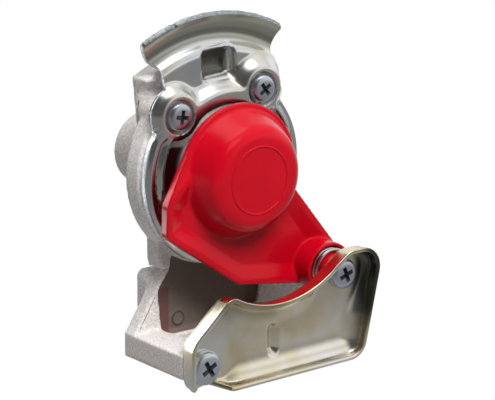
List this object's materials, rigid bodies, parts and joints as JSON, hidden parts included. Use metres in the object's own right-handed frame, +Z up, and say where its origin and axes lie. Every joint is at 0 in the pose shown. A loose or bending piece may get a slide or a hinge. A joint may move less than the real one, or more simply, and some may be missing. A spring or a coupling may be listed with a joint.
{
  "type": "gladhand air brake coupler",
  "caption": "Cast air brake coupling head with a pressed claw plate, a tray-shaped guide plate, a sprung dust cap over the seal, and a threaded port at the back.",
  "frame": {"origin": "centre of the port's mouth at the back of the head", "axes": "+Y out of the port's mouth, away from the coupling face; +Z up toward the claw; +X to the right as seen from the coupling face"},
  "size_m": [0.0812, 0.0774, 0.124],
  "materials": {
    "casting": "fine sand-cast grain",
    "seal": "matt",
    "valve": "turned",
    "spring": "drawn wire",
    "zinc": "bright zinc plate",
    "yellow_zinc": "yellowish zinc plate",
    "screw": "bluish zinc plate",
    "cap": "glossy moulding"
  },
  "bodies": {
    "head": {"body": "casting", "seal_ring": "seal", "strainer": "valve", "claw_plate": "zinc", "claw_screw_left": "screw", "claw_screw_right": "screw", "guide_plate": "yellow_zinc", "guide_screw": "screw", "pivot_screw": "screw", "pivot_sleeve": "screw", "pivot_washer": "screw", "cap_spring": "spring", "valve_spring": "spring"},
    "cap": {"dust_cap": "cap"},
    "valve": {"valve_poppet": "valve"}
  },
  "joints": [
    {"name": "cap_hinge", "type": "hinge", "parent": "head", "child": "cap", "pos_m": [0.0329, -0.061, -0.0359], "axis": [0, 1, 0], "range_deg": [0, 100], "stiffness_Nm_per_rad": 0.06, "springref_deg": -85.94, "deforming": ["cap_spring"]},
    {"name": "valve_slide", "type": "slide", "parent": "head", "child": "valve", "axis": [0, 1, 0], "range_m": [0, 0.005], "stiffness_N_per_m": 1500, "springref_m": -0.006, "deforming": ["valve_spring"]}
  ]
}
